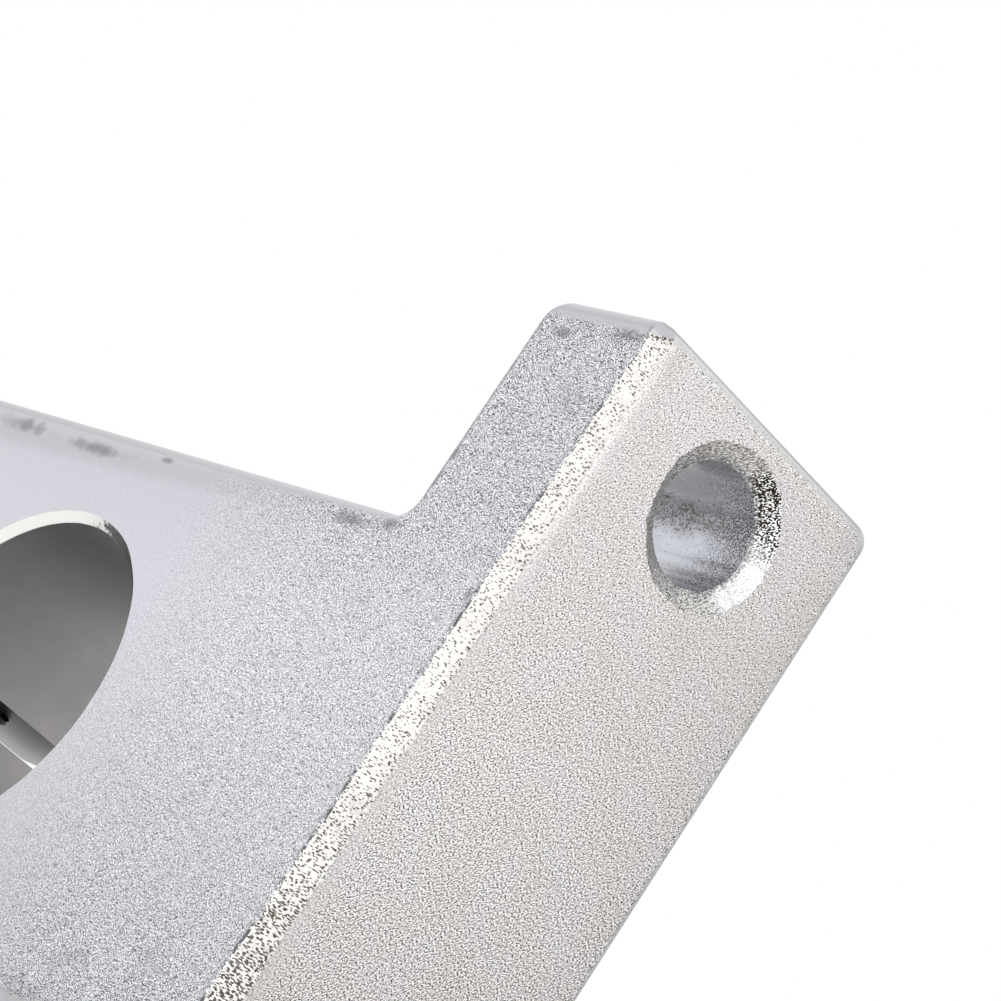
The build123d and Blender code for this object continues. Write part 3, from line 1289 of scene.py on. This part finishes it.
def helical_rod(start, end):
    """One pitch of the thread's outline, spun on a helix and closed at both ends."""
    turns = math.ceil((end - start) / thread_pitch) + 2
    bm = bmesh.new()
    outline = [
        (0.0, thread_root),
        (0.15, thread_root),
        (0.4, thread_crest),
        (0.45, thread_crest),
        (thread_pitch, thread_root),
    ]
    low = start - thread_pitch
    points = [bm.verts.new((radius, 0, low + height)) for height, radius in outline]
    edges = [bm.edges.new(pair) for pair in zip(points, points[1:])]
    bmesh.ops.spin(
        bm, geom=points + edges, cent=(0, 0, 0), axis=(0, 0, 1),
        dvec=(0, 0, thread_pitch / steps_per_turn), angle=math.tau * turns,
        steps=steps_per_turn * turns, use_merge=False, use_duplicate=False,
    )
    bmesh.ops.remove_doubles(bm, verts=bm.verts, dist=0.001)
    open_edges = [edge for edge in bm.edges if edge.is_boundary]
    bmesh.ops.holes_fill(bm, edges=open_edges, sides=0)
    bmesh.ops.recalc_face_normals(bm, faces=bm.faces)
    print("thread ends left open:", sum(edge.is_boundary for edge in bm.edges))
    return bm


# %% The thread run out at both ends
thread_start = head_height + neck_length
thread_fade = 0.5
tip_chamfer = 0.6
screw_end = screw_high.x - screw_low.x
shank_steps = 96
thread_envelope = [
    (thread_start, 0),
    (thread_start, thread_root - 0.1),
    (thread_start + thread_fade, screw_radius),
    (screw_end - tip_chamfer, screw_radius),
    (screw_end, screw_radius - tip_chamfer),
    (screw_end, 0),
]
thread = object_from(lathe(thread_envelope, shank_steps), "thread", screw_material)
combine(thread, helical_rod(thread_start, screw_end), "INTERSECT", screw_material)

# %% [markdown]
# ## The socket, and the screw put in its place
# A punch drives the hexagon into the head, over a drilled cone, and the mouth is chamfered. Each
# of the three is a simple shape of its own, so three Booleans cut them. Thread and head overlap
# at the neck, so a union makes them one closed piece, which is then laid along the base.


# %% The socket's tools
socket_across_flats = 3.0
socket_depth = 2.0
socket_cone_depth = 0.8
socket_mouth_chamfer = 0.25
socket_mouth_radius = 1.93
socket_overrun = 0.2
socket_steps = 48
hexagon_radius = socket_across_flats / math.sqrt(3)
cone_outline = [
    (socket_depth - tolerance, 0),
    (socket_depth - tolerance, socket_across_flats / 2),
    (socket_depth + socket_cone_depth, 0),
]
mouth_outline = [
    (-socket_overrun, 0),
    (-socket_overrun, socket_mouth_radius),
    (socket_mouth_chamfer, hexagon_radius - socket_mouth_chamfer),
    (socket_mouth_chamfer, 0),
]


def hexagonal_bar():
    bm = bmesh.new()
    bmesh.ops.create_cone(
        bm, cap_ends=True, segments=6, radius1=hexagon_radius, radius2=hexagon_radius,
        depth=2 * socket_depth,
    )
    return bm


# %% Thread and head joined, and the socket cut
def mesh_copy(thing):
    bm = bmesh.new()
    bm.from_mesh(thing.data)
    return bm


combine(head, mesh_copy(thread), "UNION", screw_material)
bpy.data.objects.remove(thread)
combine(head, hexagonal_bar(), "DIFFERENCE", screw_material)
for outline in (cone_outline, mouth_outline):
    combine(head, lathe(outline, socket_steps), "DIFFERENCE", screw_material)

screw_mesh = mesh_copy(head)
place_along(screw_mesh, (1, 0, 0), (screw_low.x, 0, screw_height))
screw_mesh.to_mesh(head.data)
screw_mesh.free()
finish_piece(head, "blackened_steel", "clamp_screw")

# %% [markdown]
# ## The floor
# The photograph looks up at the underside, so the camera is lower than the floor that the part
# stands on. The floor therefore shows only its upper side, by the Backfacing output, and is clear
# from below. It takes the part's shadow, but it throws none and the metal doesn't mirror it,
# because either would darken the underside that the photograph shows.


# %% A floor that is clear from below
floor_size = 1.2
floor_gap = 0.00002


def see_through_below():
    material, tree, shader = new_material("pale floor")
    finish_metal(tree, shader, grey(0.8), 0.9, metallic=0.0)
    facing = add_node(tree, "ShaderNodeNewGeometry")
    clear = add_node(tree, "ShaderNodeBsdfTransparent")
    mix = add_node(tree, "ShaderNodeMixShader", {0: facing.outputs["Backfacing"]})
    tree.links.new(shader.outputs[0], mix.inputs[1])
    tree.links.new(clear.outputs[0], mix.inputs[2])
    tree.links.new(mix.outputs[0], tree.nodes["Material Output"].inputs["Surface"])
    return material


def pale_floor():
    bm = bmesh.new()
    bmesh.ops.create_grid(bm, x_segments=1, y_segments=1, size=floor_size / 2)
    bmesh.ops.translate(bm, vec=(0, 0, -floor_gap), verts=bm.verts)
    floor = object_from(bm, "floor", see_through_below())
    floor.visible_glossy = False
    floor.visible_shadow = False
    return floor


floor = pale_floor()
print("floor:", floor_size, "m square")

# %% [markdown]
# ## The surroundings
# The photograph has a white background, and its metal mirrors a white room. The world is white
# at full strength wherever it is seen, mirrored or looked through, and weaker where it only
# lights the part, so that the grain keeps its contrast.


# %% A white world
lighting_strength = 0.6


def studio_world():
    world = bpy.data.worlds.new("studio")
    world.use_nodes = True
    tree = world.node_tree
    background = tree.nodes["Background"]
    path = add_node(tree, "ShaderNodeLightPath")
    seen = larger(tree, path.outputs["Is Camera Ray"], path.outputs["Is Glossy Ray"])
    seen = larger(tree, seen, path.outputs["Is Transmission Ray"])
    strength = times_plus(tree, seen, 1.0 - lighting_strength, lighting_strength)
    feed(tree, background.inputs["Strength"], strength)
    feed(tree, background.inputs["Color"], grey(1.0))
    bpy.context.scene.world = world


studio_world()
print("world lights the part at", lighting_strength, "and is seen at 1")

# %% [markdown]
# ## Lamps
# The photographed part has no hard shadow, so its lamps were large and soft, as area lamps are
# here. Metal shows whatever it mirrors to the camera, so each lamp stands where one kind of face
# mirrors it: the white one for the bevel, a cool one for the front, another for the worn upright
# edges, and the warm one for the underside. Each is set by the radiance of its surface, so that
# a lamp of another size looks just as bright in a reflection.


# %% Soft boxes
white = (1, 1, 1)


def soft_box(name, direction, distance, size, radiance, colour=white):
    data = bpy.data.lights.new(name, "AREA")
    data.shape = "SQUARE"
    data.size = size
    data.energy = radiance * math.pi * size * size
    data.color = colour
    lamp = bpy.data.objects.new(name, data)
    toward = Vector(direction).normalized()
    turned = toward.to_track_quat("Z", "Y").to_matrix().to_4x4()
    lamp.matrix_world = Matrix.Translation(toward * distance) @ turned
    bpy.context.scene.collection.objects.link(lamp)
    print(name + ":", round(data.energy, 3), "W")


soft_box("low front", (0.25, -0.55, -0.80), 0.5, 0.45, 0.6)
soft_box("cool front", (0.22, -0.60, 0.77), 0.6, 0.5, 0.25, (0.87, 0.90, 1.3))
soft_box("cool side", (0.50, 0.30, 0.80), 0.6, 0.4, 0.12, (0.85, 0.95, 1.2))
soft_box("warm back", (0.22, 0.60, -0.77), 0.6, 0.5, 0.25, (1.22, 0.97, 0.93))

# %% [markdown]
# ## The camera
# The photograph is a close-up from below and in front. Its camera was found by fitting a pinhole
# camera to the edges and holes of the part, in millimetres from the middle of the underside. The
# focal length is in pixels of the photograph, and becomes millimetres with the sensor's width.
# The picture stays sharp throughout, so the camera has no depth of field.

# %% The photograph's camera
camera_place = Vector((-26.6908, -103.2975, -124.0882))
look = Vector((0.25001, 0.58223, 0.77363))
image_up = Vector((0.804839, -0.569147, 0.168241))
focal_pixels = 4094.43
image_pixels = 1001
sensor_width = 36

camera_data = bpy.data.cameras.new("photo camera")
camera_data.sensor_width = sensor_width
camera_data.lens = focal_pixels * sensor_width / image_pixels
camera = bpy.data.objects.new("photo camera", camera_data)
axes = Matrix((image_up.cross(-look), image_up, -look)).transposed().to_4x4()
camera.matrix_world = Matrix.Translation(camera_place * mm) @ axes
bpy.context.scene.collection.objects.link(camera)
bpy.context.scene.camera = camera
bpy.context.scene.view_settings.view_transform = "Standard"
print("lens:", round(camera_data.lens, 1), "mm")
